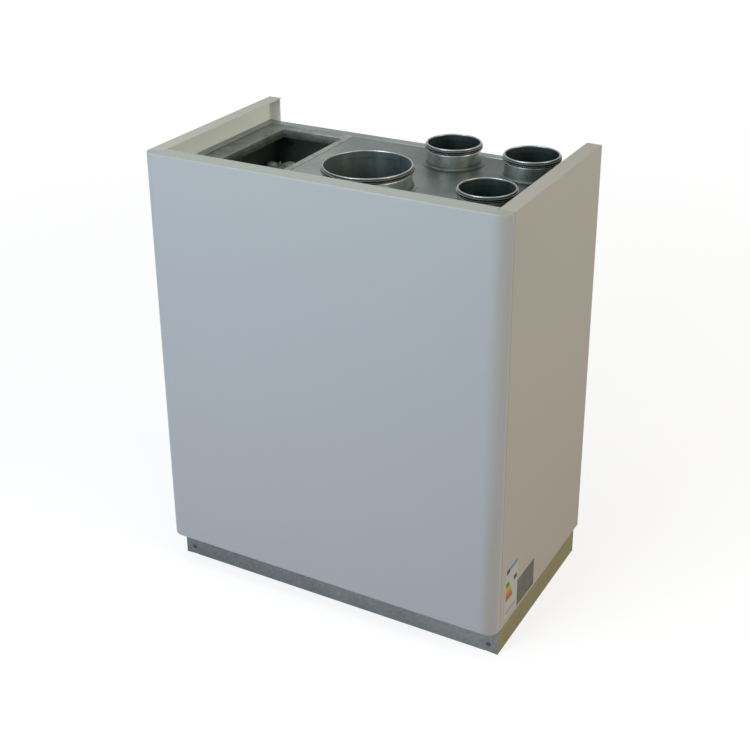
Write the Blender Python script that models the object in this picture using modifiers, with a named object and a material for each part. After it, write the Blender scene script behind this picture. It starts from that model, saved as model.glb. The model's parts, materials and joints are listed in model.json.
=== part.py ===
"""Floor-standing ventilation unit: a painted steel cabinet on a galvanised plinth.

The duct spigots and the open service compartment are on its top, inside the rim that
the front and side panels make. Metres, +Z up. The origin is on the floor, under the
middle of the cabinet, and the front panel faces -Y.
"""

from math import cos, pi, radians, sin

import bmesh
import bpy
from mathutils import Matrix, Vector

# Overall size
WIDTH = 0.900
DEPTH = 0.527
HEIGHT = 1.100

# Gap that seated pieces keep
FIT = 0.0003

# Plinth
PLINTH_HEIGHT = 0.084
PLINTH_SHEET = 0.002
PLINTH_SIDE_INSET = 0.0082
PLINTH_FRONT_INSET = 0.045
PLINTH_REAR_INSET = 0.0073
PLINTH_FLANGE = 0.032

# Painted panels
PANEL_SHEET = 0.0012
PANEL_BOTTOM = 0.081
PANEL_BEND = 0.0025
FRONT_PANEL_DEPTH = 0.0287
FRONT_CORNER_RADIUS = 0.026
FRONT_TOP_FLANGE = 0.0436
PANEL_SEAM = 0.0006
SIDE_FLANGE = 0.0374
REAR_FLANGE = 0.0335
REAR_HEM = 0.0175

# Insulated casing behind the panels, its roof sunk below their top edges
ROOF_SINK = 0.0607
SIDE_WALL = 0.0225
FRONT_WALL = 0.030
REAR_WALL = 0.0273
FLOOR_THICKNESS = 0.025
DUCT_DEPTH = 0.1243
WALL_EDGE = 0.0008

# Roof and service opening
ROOF_SHEET = 0.0012
ROOF_BEND = 0.0018
ROOF_FLANGE = 0.016
ROOF_SEAL_WIDTH = 0.0042
ROOF_SEAL_DEPTH = 0.010
ROOF_SEAL_SINK = 0.0025
SERVICE_FRAME_WIDTH = 0.2385
SERVICE_RAIL_LEFT = 0.0482
SERVICE_RAIL_RIGHT = 0.0183
SERVICE_RAIL_END = 0.0267
SERVICE_LIP = 0.022
COVER_HOLE = 0.0042
COVER_HOLE_FROM_END = 0.0315
COVER_HOLE_LEFT = 0.017
COVER_HOLE_RIGHT = 0.008
TUB_SHEET = 0.0012
TUB_INSET = 0.0055

# Spigots: diameter of the duct that slides over each
LARGE_DUCT = 0.200
SMALL_DUCT = 0.125
SPIGOT_HEIGHT = 0.0507
SPIGOT_SHEET = 0.0009
SPIGOT_DROP = 0.018
SPIGOT_FLANGE = 0.0095
SPIGOT_FILLET = 0.0075
HOLE_CLEARANCE = 0.0005
RIM_BEAD = 0.0019
RIM_INSET = 0.0002
SEAL_GROOVE = 0.0006
SEAL_TOP = 0.0040
SEAL_BAND = 0.0105
SEAL_LIP = 0.0045
STOP_BEAD = 0.0010
BEAD_BELOW_SEAL = 0.0026
LINER_WALL = 0.008
LARGE_STEPS = 44
SMALL_STEPS = 32

# Where the spigots stand, measured from the roof plate's edges
REAR_ROW_FROM_REAR = 0.0737
REAR_RIGHT_FROM_RIGHT = 0.099
REAR_PITCH = 0.1956
FRONT_RIGHT_FROM_RIGHT = 0.095
FRONT_RIGHT_FROM_FRONT = 0.1084
LARGE_FROM_FRONT = 0.1259
LARGE_LEFT_OF_MIDDLE = 0.0079
FLANGE_CLEARANCE = 0.002

# Cable entry in the compartment's rear wall
GLAND_RADIUS = 0.0085
GLAND_BORE = 0.0045
GLAND_LENGTH = 0.009
GLAND_FROM_LEFT = 0.0512
GLAND_BELOW_ROOF = 0.042

# Terminal box on the compartment's floor, and what stands on it
BOX_WIDTH = 0.084
BOX_DEPTH = 0.064
BOX_HEIGHT = 0.024
BOX_FROM_LEFT = 0.0045
BOX_FROM_REAR = 0.0075
BOX_EDGE = 0.003
CAP_RADIUS = 0.014
CAP_HEIGHT = 0.0145
CAP_SKIRT = 0.004
CAP_AT = (0.0155, 0.020)
SOCKET_RADIUS = 0.013
SOCKET_BORE = 0.007
SOCKET_HEIGHT = 0.0135
SOCKET_AT = (0.060, 0.036)
POST_RADIUS = 0.0022
POST_HEIGHT = 0.0135
POST_LEFT_AT = (0.028, 0.039)
POST_RIGHT_AT = (0.044, 0.036)

X = Vector((1, 0, 0))
Y = Vector((0, 1, 0))
Z = Vector((0, 0, 1))

LEFT = -WIDTH / 2
RIGHT = WIDTH / 2
FRONT = -DEPTH / 2
REAR = DEPTH / 2

# Planes that several pieces share
side_front = FRONT + FRONT_PANEL_DEPTH + PANEL_SEAM
wall_outer_left = LEFT + PANEL_SHEET + FIT
wall_inner_left = wall_outer_left + SIDE_WALL
wall_front = side_front + PANEL_SHEET + FIT
wall_rear = REAR - 2 * PANEL_SHEET - FIT
inside_front = wall_front + FRONT_WALL + FIT
inside_rear = wall_rear - REAR_WALL - FIT
casing_base = PLINTH_HEIGHT + FIT
frame_left = wall_inner_left + 2 * FIT + ROOF_SEAL_WIDTH
frame_right = frame_left + SERVICE_FRAME_WIDTH
roof_left = frame_right + FIT
roof_right = -frame_left
roof_level = HEIGHT - ROOF_SINK
roof_under = roof_level - ROOF_SHEET - FIT
core_top = roof_level - DUCT_DEPTH


def clear_scene():
    """Removes every object, so that the script can be run again."""
    for thing in list(bpy.data.objects):
        bpy.data.objects.remove(thing, do_unlink=True)


def new_collection(name):
    """A collection for the pieces, or for what cuts them."""
    group = bpy.data.collections.new(name)
    bpy.context.scene.collection.children.link(group)
    return group


def finish(name, colour, roughness, metallic):
    """A plain Principled material."""
    material = bpy.data.materials.new(name)
    material.use_nodes = True
    shader = material.node_tree.nodes["Principled BSDF"]
    shader.inputs["Base Color"].default_value = (*colour, 1)
    shader.inputs["Roughness"].default_value = roughness
    shader.inputs["Metallic"].default_value = metallic
    material.diffuse_color = (*colour, 1)
    return material


def add_object(name, mesh, group, material, matrix):
    """Puts a mesh in the scene as one piece."""
    thing = bpy.data.objects.new(name, mesh)
    group.objects.link(thing)
    if material:
        mesh.materials.append(material)
    thing.matrix_world = matrix
    return thing


def mesh_from(name, bm):
    """Turns a bmesh into a mesh and frees it."""
    mesh = bpy.data.meshes.new(name)
    bm.to_mesh(mesh)
    bm.free()
    return mesh


def block(name, low, high, material, edge=0.0, segments=1):
    """A solid block between two corners, its edges broken by a small bevel."""
    low, high = Vector(low), Vector(high)
    bm = bmesh.new()
    bmesh.ops.create_cube(bm, size=1.0)
    bmesh.ops.scale(bm, vec=high - low, verts=bm.verts)
    piece = add_object(name, mesh_from(name, bm), parts, material, Matrix.Translation((low + high) / 2))
    if edge:
        bevel = piece.modifiers.new("Edges", "BEVEL")
        bevel.width = edge
        bevel.segments = segments
    return piece


def on_plane(origin, u_axis, v_axis):
    """The matrix that lays a sheet's own X and Y along two world axes."""
    normal = u_axis.cross(v_axis)
    matrix = Matrix((u_axis, v_axis, normal)).transposed().to_4x4()
    matrix.translation = origin
    return matrix


def flat_grid(u_cuts, v_cuts):
    """A flat rectangle, cut along the lines where flanges or holes begin."""
    bm = bmesh.new()
    low = Vector((u_cuts[0], v_cuts[0], 0))
    high = Vector((u_cuts[-1], v_cuts[-1], 0))
    bmesh.ops.create_grid(bm, x_segments=1, y_segments=1, size=0.5)
    bmesh.ops.scale(bm, vec=(high.x - low.x, high.y - low.y, 1), verts=bm.verts)
    bmesh.ops.translate(bm, vec=(low + high) / 2, verts=bm.verts)
    for axis, cuts in ((X, u_cuts), (Y, v_cuts)):
        for cut in cuts[1:-1]:
            everything = bm.verts[:] + bm.edges[:] + bm.faces[:]
            bmesh.ops.bisect_plane(bm, geom=everything, plane_co=axis * cut, plane_no=axis)
    return bm


def turn_down(bm, edges, drop):
    """Extrudes edges straight down, as a flange."""
    made = bmesh.ops.extrude_edge_only(bm, edges=edges)["geom"]
    corners = [item for item in made if isinstance(item, bmesh.types.BMVert)]
    bmesh.ops.translate(bm, vec=(0, 0, -drop), verts=corners)


def edges_between(bm, axis, at, start, end):
    """The open edges that lie at one place on an axis, between two places on the other."""
    other = 1 - axis
    found = []
    for edge in bm.edges:
        middle = (edge.verts[0].co + edge.verts[1].co) / 2
        level = abs(middle.z) < 1e-6 and abs(edge.verts[0].co.z) < 1e-6
        across = all(abs(corner.co[axis] - at) < 1e-6 for corner in edge.verts)
        if edge.is_boundary and level and across and start < middle[other] < end:
            found.append(edge)
    return found


def thicken(piece, sheet, bend, segments):
    """Rounds a folded sheet's bends, and gives it its thickness on the inner side."""
    bevel = piece.modifiers.new("Bends", "BEVEL")
    bevel.width = bend
    bevel.segments = segments
    bevel.limit_method = "ANGLE"
    bevel.angle_limit = radians(30)
    solid = piece.modifiers.new("Sheet", "SOLIDIFY")
    solid.thickness = sheet
    solid.offset = -1
    solid.use_even_offset = True
    return piece


def folded_sheet(name, matrix, size, flanges, sheet, bend, material, segments=2):
    """A rectangle of sheet with flanges turned down from its sides.

    flanges holds (side, depth, inset) rows. A side is u0, u1, v0 or v1, and the
    inset is how far the flange stays from both ends of its side.
    """
    spans = {"u": size[0], "v": size[1]}
    cuts = {"u": {0.0, size[0]}, "v": {0.0, size[1]}}
    for side, flange_depth, inset in flanges:
        along = "v" if side[0] == "u" else "u"
        cuts[along] |= {inset, spans[along] - inset}
    bm = flat_grid(sorted(cuts["u"]), sorted(cuts["v"]))
    chosen = []
    for side, flange_depth, inset in flanges:
        axis = 0 if side[0] == "u" else 1
        along = "v" if side[0] == "u" else "u"
        at = 0.0 if side[1] == "0" else spans[side[0]]
        chosen.append((edges_between(bm, axis, at, inset, spans[along] - inset), flange_depth))
    for edges, flange_depth in chosen:
        turn_down(bm, edges, flange_depth)
    bmesh.ops.remove_doubles(bm, verts=bm.verts, dist=1e-6)
    bmesh.ops.dissolve_limit(bm, angle_limit=radians(1), verts=bm.verts, edges=bm.edges)
    if sum(face.normal.z for face in bm.faces) < 0:
        bmesh.ops.reverse_faces(bm, faces=bm.faces)
    piece = add_object(name, mesh_from(name, bm), parts, material, matrix)
    return thicken(piece, sheet, bend, segments)


def turned(name, profile, centre, steps, material):
    """A profile turned round the upright axis through centre, a ring unless it meets the axis."""
    bm = bmesh.new()
    corners = [bm.verts.new((radius, 0, level)) for radius, level in profile]
    for corner, following in zip(corners, corners[1:]):
        bm.edges.new((corner, following))
    if profile[0][0] > 0:
        bm.edges.new((corners[-1], corners[0]))
    piece = add_object(name, mesh_from(name, bm), parts, material, Matrix.Translation(centre))
    screw = piece.modifiers.new("Turn", "SCREW")
    screw.steps = steps
    screw.render_steps = steps
    screw.use_merge_vertices = True
    screw.merge_threshold = 0.00001
    screw.use_smooth_shade = True
    return piece


def arc(centre, radius, start, end, count):
    """Points on an arc, its angles in degrees from +X towards +Z."""
    points = []
    for step in range(count + 1):
        angle = radians(start + (end - start) * step / count)
        points.append((centre[0] + radius * cos(angle), centre[1] + radius * sin(angle)))
    return points


def combine(piece, name, bm, operation):
    """Takes a hidden body out of the piece, or joins it on."""
    other = add_object(name, mesh_from(name, bm), cutters, None, Matrix())
    other.display_type = "WIRE"
    other.hide_render = True
    boolean = piece.modifiers.new("Combine", "BOOLEAN")
    boolean.operation = operation
    boolean.solver = "EXACT"
    boolean.object = other


def add_box(bm, low, high):
    """Adds a box between two corners to a bmesh."""
    low, high = Vector(low), Vector(high)
    scale = Matrix.Diagonal(high - low).to_4x4()
    bmesh.ops.create_cube(bm, size=1.0, matrix=Matrix.Translation((low + high) / 2) @ scale)


def add_drill(bm, radius, depth, centre, steps):
    """Adds an upright cylinder to a bmesh, its middle at centre."""
    bmesh.ops.create_cone(bm, cap_ends=True, segments=steps, radius1=radius, radius2=radius,
                          depth=depth, matrix=Matrix.Translation(centre))


def build_plinth():
    """Four folded rails that the casing stands on."""
    span = WIDTH - 2 * PLINTH_SIDE_INSET
    side_start = FRONT + PLINTH_FRONT_INSET + PLINTH_SHEET + FIT
    side_end = REAR - PLINTH_REAR_INSET - PLINTH_SHEET - FIT
    run = side_end - side_start
    inset = PLINTH_FLANGE + FIT + PLINTH_SHEET
    galvanised = finish("plinth_zinc", (0.42, 0.43, 0.42), 0.45, 0.8)
    across = (("v0", PLINTH_FLANGE, inset), ("v1", PLINTH_FLANGE, inset))
    along = (("v0", PLINTH_FLANGE, 0.0), ("v1", PLINTH_FLANGE, 0.0))
    at_front = (LEFT + PLINTH_SIDE_INSET, FRONT + PLINTH_FRONT_INSET, 0)
    at_rear = (RIGHT - PLINTH_SIDE_INSET, REAR - PLINTH_REAR_INSET, 0)
    at_left = (LEFT + PLINTH_SIDE_INSET, side_end, 0)
    at_right = (RIGHT - PLINTH_SIDE_INSET, side_start, 0)
    rails = (
        ("plinth_front", on_plane(Vector(at_front), X, Z), span, across),
        ("plinth_rear", on_plane(Vector(at_rear), -X, Z), span, across),
        ("plinth_left", on_plane(Vector(at_left), -Y, Z), run, along),
        ("plinth_right", on_plane(Vector(at_right), Y, Z), run, along),
    )
    for name, matrix, length, flanges in rails:
        folded_sheet(name, matrix, (length, PLINTH_HEIGHT), flanges, PLINTH_SHEET,
                     PLINTH_SHEET + FIT, galvanised)


def build_casing():
    """The insulated walls, floor and core, and the foam strips beside the roof."""
    zinc = finish("casing_zinc", (0.50, 0.53, 0.51), 0.4, 0.8)
    foam = finish("core_foam", (0.10, 0.10, 0.10), 0.9, 0.0)
    rubber = finish("roof_seal_rubber", (0.02, 0.02, 0.02), 0.7, 0.0)
    for name, side in (("side_wall_left", -1), ("side_wall_right", 1)):
        edges = sorted((side * abs(wall_outer_left), side * abs(wall_inner_left)))
        block(name, (edges[0], wall_front, casing_base), (edges[1], wall_rear, roof_level), zinc, WALL_EDGE)
    inner = abs(wall_inner_left) - FIT
    block("front_wall", (-inner, wall_front, casing_base),
          (inner, wall_front + FRONT_WALL, roof_level), zinc, WALL_EDGE)
    block("rear_wall", (-inner, wall_rear - REAR_WALL, casing_base),
          (inner, wall_rear, roof_level), zinc, WALL_EDGE)
    floor_top = casing_base + FLOOR_THICKNESS
    block("casing_floor", (-inner, inside_front, casing_base), (inner, inside_rear, floor_top), zinc)
    block("core_block", (-inner, inside_front, floor_top + FIT), (inner, inside_rear, core_top), foam)
    seal_top = roof_level - ROOF_SEAL_SINK
    for name, side in (("roof_seal_left", -1), ("roof_seal_right", 1)):
        edges = sorted((side * inner, side * (inner - ROOF_SEAL_WIDTH)))
        block(name, (edges[0], inside_front, seal_top - ROOF_SEAL_DEPTH),
              (edges[1], inside_rear, seal_top), rubber)


def build_side_panels():
    """Painted side panels, each with flanges turned in at its front, top and rear.

    The rear flange ends in a hem, where the sheet is folded back flat on itself.
    """
    white = finish("side_panel_paint", (0.80, 0.80, 0.77), 0.35, 0.0)
    size = (REAR - side_front, HEIGHT - PANEL_BOTTOM)
    left = on_plane(Vector((LEFT, REAR, PANEL_BOTTOM)), -Y, Z)
    right = on_plane(Vector((RIGHT, side_front, PANEL_BOTTOM)), Y, Z)
    rows = (("side_panel_left", left, -1, "u0", "u1"), ("side_panel_right", right, 1, "u1", "u0"))
    for name, matrix, side, rear, front in rows:
        flanges = ((rear, REAR_FLANGE, 0.0), (front, SIDE_FLANGE, 0.0), ("v1", SIDE_FLANGE, 0.0))
        panel = folded_sheet(name, matrix, size, flanges, PANEL_SHEET, PANEL_BEND, white)
        hem_end = WIDTH / 2 - REAR_FLANGE + FIT
        across = sorted((side * hem_end, side * (hem_end + REAR_HEM)))
        bm = bmesh.new()
        add_box(bm, (across[0], REAR - 2 * PANEL_SHEET, PANEL_BOTTOM + PANEL_BEND),
                (across[1], REAR - PANEL_SHEET / 2, HEIGHT - PANEL_BEND))
        combine(panel, name + "_hem", bm, "UNION")


def build_front_panel():
    """The lift-off front panel, a shallow pan with round upright corners.

    Its top flange is a tongue that reaches back between the side panels' flanges.
    """
    white = finish("front_panel_paint", (0.80, 0.81, 0.82), 0.3, 0.0)
    bm = bmesh.new()
    bmesh.ops.create_cube(bm, size=1.0)
    size = Vector((WIDTH, FRONT_PANEL_DEPTH, HEIGHT - PANEL_BOTTOM))
    bmesh.ops.scale(bm, vec=size, verts=bm.verts)
    back = [face for face in bm.faces if round(face.normal.y) == 1]
    bmesh.ops.delete(bm, geom=back, context="FACES_ONLY")
    upright = [edge for edge in bm.edges if edge.verts[0].co.y < 0 and edge.verts[1].co.y < 0
               and abs(edge.verts[0].co.z - edge.verts[1].co.z) > 0.1]
    bmesh.ops.bevel(bm, geom=upright, offset=FRONT_CORNER_RADIUS, offset_type="OFFSET", segments=8,
                    profile=0.5, affect="EDGES")
    tongue = WIDTH / 2 - SIDE_FLANGE - PANEL_SEAM
    for side in (-1, 1):
        top = [face for face in bm.faces if round(face.normal.z) == 1]
        geometry = top + list({edge for face in top for edge in face.edges})
        geometry += list({corner for face in top for corner in face.verts})
        bmesh.ops.bisect_plane(bm, geom=geometry, plane_co=X * side * tongue, plane_no=X)
    behind = [edge for edge in bm.edges if edge.is_boundary
              and all(corner.co.z > size.z / 2 - 1e-6 and abs(corner.co.x) < tongue + 1e-6
                      for corner in edge.verts)]
    made = bmesh.ops.extrude_edge_only(bm, edges=behind)["geom"]
    corners = [item for item in made if isinstance(item, bmesh.types.BMVert)]
    bmesh.ops.translate(bm, vec=(0, FRONT_TOP_FLANGE - FRONT_PANEL_DEPTH, 0), verts=corners)
    centre = Vector((0, FRONT + FRONT_PANEL_DEPTH / 2, (HEIGHT + PANEL_BOTTOM) / 2))
    piece = add_object("front_panel", mesh_from("front_panel", bm), parts, white,
                       Matrix.Translation(centre))
    thicken(piece, PANEL_SHEET, PANEL_BEND, 2)
    pad = block("front_panel_insulation",
                (LEFT + PANEL_SHEET + FIT, FRONT + PANEL_SHEET + FIT, PANEL_BOTTOM + PANEL_BEND + FIT),
                (RIGHT - PANEL_SHEET - FIT, FRONT + FRONT_PANEL_DEPTH, roof_level),
                finish("insulation_foam", (0.16, 0.16, 0.16), 0.9, 0.0))
    pad.data = rounded_pad(pad.data, FRONT_CORNER_RADIUS - PANEL_SHEET)


def rounded_pad(mesh, radius):
    """Rounds the two upright front edges of a block's mesh, and breaks the front's lower edge."""
    bm = bmesh.new()
    bm.from_mesh(mesh)
    upright = [edge for edge in bm.edges if edge.verts[0].co.y < 0 and edge.verts[1].co.y < 0
               and abs(edge.verts[0].co.z - edge.verts[1].co.z) > 0.1]
    bmesh.ops.bevel(bm, geom=upright, offset=radius, offset_type="OFFSET", segments=8,
                    profile=0.5, affect="EDGES")
    bm.to_mesh(mesh)
    bm.free()
    return mesh


def spigot_places():
    """Each spigot's name, radius, centre on the roof and steps.

    The large one stands left of the middle of the space beside the front small one,
    and further left where its flange would meet the rear one's.
    """
    small = SMALL_DUCT / 2
    small_reach = small + SPIGOT_FLANGE
    large_reach = LARGE_DUCT / 2 + SPIGOT_FLANGE
    rear_row = inside_rear - REAR_ROW_FROM_REAR
    rear_right = Vector((roof_right - REAR_RIGHT_FROM_RIGHT, rear_row, roof_level))
    rear_middle = rear_right - X * REAR_PITCH
    front_right = Vector((roof_right - FRONT_RIGHT_FROM_RIGHT, inside_front + FRONT_RIGHT_FROM_FRONT,
                          roof_level))
    middle = (roof_left + front_right.x - small_reach) / 2 - LARGE_LEFT_OF_MIDDLE
    large = Vector((middle, inside_front + LARGE_FROM_FRONT, roof_level))
    apart = large_reach + small_reach + FLANGE_CLEARANCE
    beside = max(0.0, apart ** 2 - (rear_row - large.y) ** 2) ** 0.5
    large.x = min(large.x, rear_middle.x - beside)
    yield "large", LARGE_DUCT / 2, large, LARGE_STEPS
    yield "rear_middle", small, rear_middle, SMALL_STEPS
    yield "rear_right", small, rear_right, SMALL_STEPS
    yield "front_right", small, front_right, SMALL_STEPS


def build_roof():
    """The roof plate with its duct holes, and the frame round the service opening."""
    zinc = finish("roof_zinc", (0.55, 0.58, 0.56), 0.38, 0.85)
    size = (roof_right - roof_left, inside_rear - inside_front)
    flanges = [(side, ROOF_FLANGE, 0.0) for side in ("u0", "u1", "v0", "v1")]
    matrix = on_plane(Vector((roof_left, inside_front, roof_level)), X, Y)
    roof = folded_sheet("roof_plate", matrix, size, flanges, ROOF_SHEET, ROOF_BEND, zinc, 1)
    bm = bmesh.new()
    for name, radius, centre, steps in spigot_places():
        add_drill(bm, radius + HOLE_CLEARANCE, 4 * ROOF_FLANGE, centre, steps)
    combine(roof, "duct_holes", bm, "DIFFERENCE")
    build_service_frame(zinc)


def build_service_frame(zinc):
    """A flat frame whose inner edges turn down round the opening, with holes for its cover."""
    u_cuts = (frame_left, frame_left + SERVICE_RAIL_LEFT, frame_right - SERVICE_RAIL_RIGHT, frame_right)
    v_cuts = (inside_front, inside_front + SERVICE_RAIL_END, inside_rear - SERVICE_RAIL_END, inside_rear)
    bm = flat_grid(u_cuts, v_cuts)
    middle = [face for face in bm.faces
              if u_cuts[1] < face.calc_center_median().x < u_cuts[2]
              and v_cuts[1] < face.calc_center_median().y < v_cuts[2]]
    bmesh.ops.delete(bm, geom=middle, context="FACES_ONLY")
    sides = edges_between(bm, 0, u_cuts[1], v_cuts[1], v_cuts[2])
    sides += edges_between(bm, 0, u_cuts[2], v_cuts[1], v_cuts[2])
    sides += edges_between(bm, 1, v_cuts[1], u_cuts[1], u_cuts[2])
    sides += edges_between(bm, 1, v_cuts[2], u_cuts[1], u_cuts[2])
    turn_down(bm, sides, SERVICE_LIP)
    if sum(face.normal.z for face in bm.faces) < 0:
        bmesh.ops.reverse_faces(bm, faces=bm.faces)
    piece = add_object("service_frame", mesh_from("service_frame", bm), parts, zinc,
                       Matrix.Translation((0, 0, roof_level)))
    thicken(piece, ROOF_SHEET, ROOF_BEND, 2)
    bm = bmesh.new()
    for across in (u_cuts[1] - COVER_HOLE_LEFT, u_cuts[2] + COVER_HOLE_RIGHT):
        for along in (v_cuts[1] + COVER_HOLE_FROM_END, v_cuts[2] - COVER_HOLE_FROM_END):
            add_drill(bm, COVER_HOLE / 2, 4 * ROOF_SHEET, (across, along, roof_level), 12)
    combine(piece, "cover_holes", bm, "DIFFERENCE")


def build_tub():
    """The open-topped compartment under the service frame, and its cable entry."""
    zinc = finish("tub_zinc", (0.30, 0.33, 0.31), 0.5, 0.7)
    floor = core_top + FIT
    walls = roof_under - floor
    size = (inside_rear - inside_front, SERVICE_FRAME_WIDTH - 2 * TUB_INSET)
    flanges = [(side, walls, 0.0) for side in ("u0", "u1", "v0", "v1")]
    matrix = on_plane(Vector((frame_left + TUB_INSET, inside_front, floor)), Y, X)
    folded_sheet("service_tub", matrix, size, flanges, TUB_SHEET, ROOF_BEND, zinc)
    wall = inside_rear - TUB_SHEET - FIT
    at = Vector((frame_left + GLAND_FROM_LEFT, wall, roof_level - GLAND_BELOW_ROOF))
    flat = GLAND_LENGTH / 3
    profile = [
        (GLAND_RADIUS * 0.8, GLAND_LENGTH),
        (GLAND_RADIUS * 0.8, flat),
        (GLAND_RADIUS, flat),
        (GLAND_RADIUS, 0.0),
        (GLAND_BORE, 0.0),
        (GLAND_BORE, GLAND_LENGTH),
    ]
    black = finish("gland_plastic", (0.03, 0.03, 0.03), 0.5, 0.0)
    gland = turned("cable_gland", profile, at, 20, black)
    gland.matrix_world = Matrix.Translation(at) @ Matrix.Rotation(pi / 2, 4, "X")
    build_terminals(floor + TUB_SHEET + FIT)


def build_terminals(level):
    """A low terminal box in the tub's rear left corner, with a cap, a socket and two posts."""
    plastic = finish("terminal_plastic", (0.42, 0.44, 0.41), 0.45, 0.0)
    left = frame_left + TUB_INSET + TUB_SHEET + BOX_FROM_LEFT
    front = inside_rear - TUB_SHEET - BOX_FROM_REAR - BOX_DEPTH
    corner = Vector((left, front, level))
    block("terminal_box", corner, corner + Vector((BOX_WIDTH, BOX_DEPTH, BOX_HEIGHT)), plastic, BOX_EDGE, 3)
    dome = CAP_RADIUS - CAP_SKIRT
    shoulder = arc((dome, CAP_SKIRT), CAP_SKIRT, 60, 0, 2)
    cap = [(0.0, CAP_HEIGHT), (dome / 2, CAP_HEIGHT * 0.94), (dome, CAP_HEIGHT * 0.74)] + shoulder
    cap += [(CAP_RADIUS, 0.0), (0.0, 0.0)]
    socket = [
        (SOCKET_RADIUS * 0.9, SOCKET_HEIGHT),
        (SOCKET_RADIUS, SOCKET_HEIGHT * 0.9),
        (SOCKET_RADIUS, 0.0),
        (SOCKET_BORE, 0.0),
        (SOCKET_BORE, SOCKET_HEIGHT),
    ]
    post = [(0.0, POST_HEIGHT), (POST_RADIUS, POST_HEIGHT), (POST_RADIUS, 0.0), (0.0, 0.0)]
    rows = (
        ("terminal_cap", cap, CAP_AT, 24),
        ("terminal_socket", socket, SOCKET_AT, 24),
        ("terminal_post_left", post, POST_LEFT_AT, 12),
        ("terminal_post_right", post, POST_RIGHT_AT, 12),
    )
    for name, profile, place, steps in rows:
        foot = corner + Vector((*place, BOX_HEIGHT + FIT))
        turned(name, profile, foot, steps, plastic)


def spigot_profile(radius):
    """The spigot's section: rolled rim, seal groove, stop bead, body, fillet and flange.

    The inner wall follows the groove and the bead, as they are rolled into one sheet.
    """
    top = SPIGOT_HEIGHT
    inner = radius - SPIGOT_SHEET
    rim_at = (radius - RIM_INSET, top - RIM_BEAD)
    seal_high = top - SEAL_TOP
    seal_low = seal_high - SEAL_BAND
    bead = seal_low - BEAD_BELOW_SEAL
    foot = SPIGOT_SHEET + FIT
    outer = arc(rim_at, RIM_BEAD, 130, -70, 6)
    outer += [(radius - SEAL_GROOVE, seal_high), (radius - SEAL_GROOVE, seal_low)]
    outer += [(radius, bead + STOP_BEAD), (radius + STOP_BEAD, bead), (radius, bead - STOP_BEAD)]
    outer += arc((radius + SPIGOT_FILLET, foot + SPIGOT_FILLET), SPIGOT_FILLET, 180, 270, 3)
    outer += [(radius + SPIGOT_FLANGE, foot), (radius + SPIGOT_FLANGE, FIT), (radius, FIT)]
    wall = [(radius, -SPIGOT_DROP), (inner, -SPIGOT_DROP), (inner, bead - STOP_BEAD)]
    wall += [(inner + STOP_BEAD, bead), (inner - SEAL_GROOVE, seal_low)]
    return outer + wall + [(inner - SEAL_GROOVE, seal_high)]


def seal_profile(radius):
    """The rubber seal's section: a band in the groove with two thin lips."""
    low = SPIGOT_HEIGHT - SEAL_TOP - SEAL_BAND + FIT
    high = SPIGOT_HEIGHT - SEAL_TOP - FIT
    inner = radius - SEAL_GROOVE + FIT
    face = radius + SEAL_LIP / 6
    tip = radius + SEAL_LIP
    lip = SEAL_BAND / 6
    outer = [(inner, high), (face, high)]
    for middle in (high - 1.5 * lip, low + 1.7 * lip):
        outer += [(face, middle + lip), (tip, middle), (tip, middle - lip / 3), (face, middle - lip / 2)]
    return outer + [(face, low), (inner, low)]


def build_spigots():
    """Spigots on the roof, the rubber seals round them and the foam liners under them."""
    zinc = finish("spigot_zinc", (0.60, 0.63, 0.62), 0.25, 0.95)
    rubber = finish("seal_rubber", (0.015, 0.015, 0.015), 0.55, 0.0)
    foam = finish("liner_foam", (0.07, 0.08, 0.08), 0.85, 0.0)
    low = core_top + FIT - roof_level
    high = roof_under - roof_level
    for name, radius, centre, steps in spigot_places():
        turned("spigot_" + name, spigot_profile(radius), centre, steps, zinc)
        turned("seal_" + name, seal_profile(radius), centre, steps, rubber)
        bore = radius + HOLE_CLEARANCE
        wall = bore + LINER_WALL
        turned("duct_liner_" + name, [(wall, high), (wall, low), (bore, low), (bore, high)],
               centre, steps, foam)


clear_scene()
parts = new_collection("ventilation_unit")
cutters = new_collection("cutters")
cutters.hide_render = True
build_plinth()
build_casing()
build_side_panels()
build_front_panel()
build_roof()
build_tub()
build_spigots()
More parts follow.
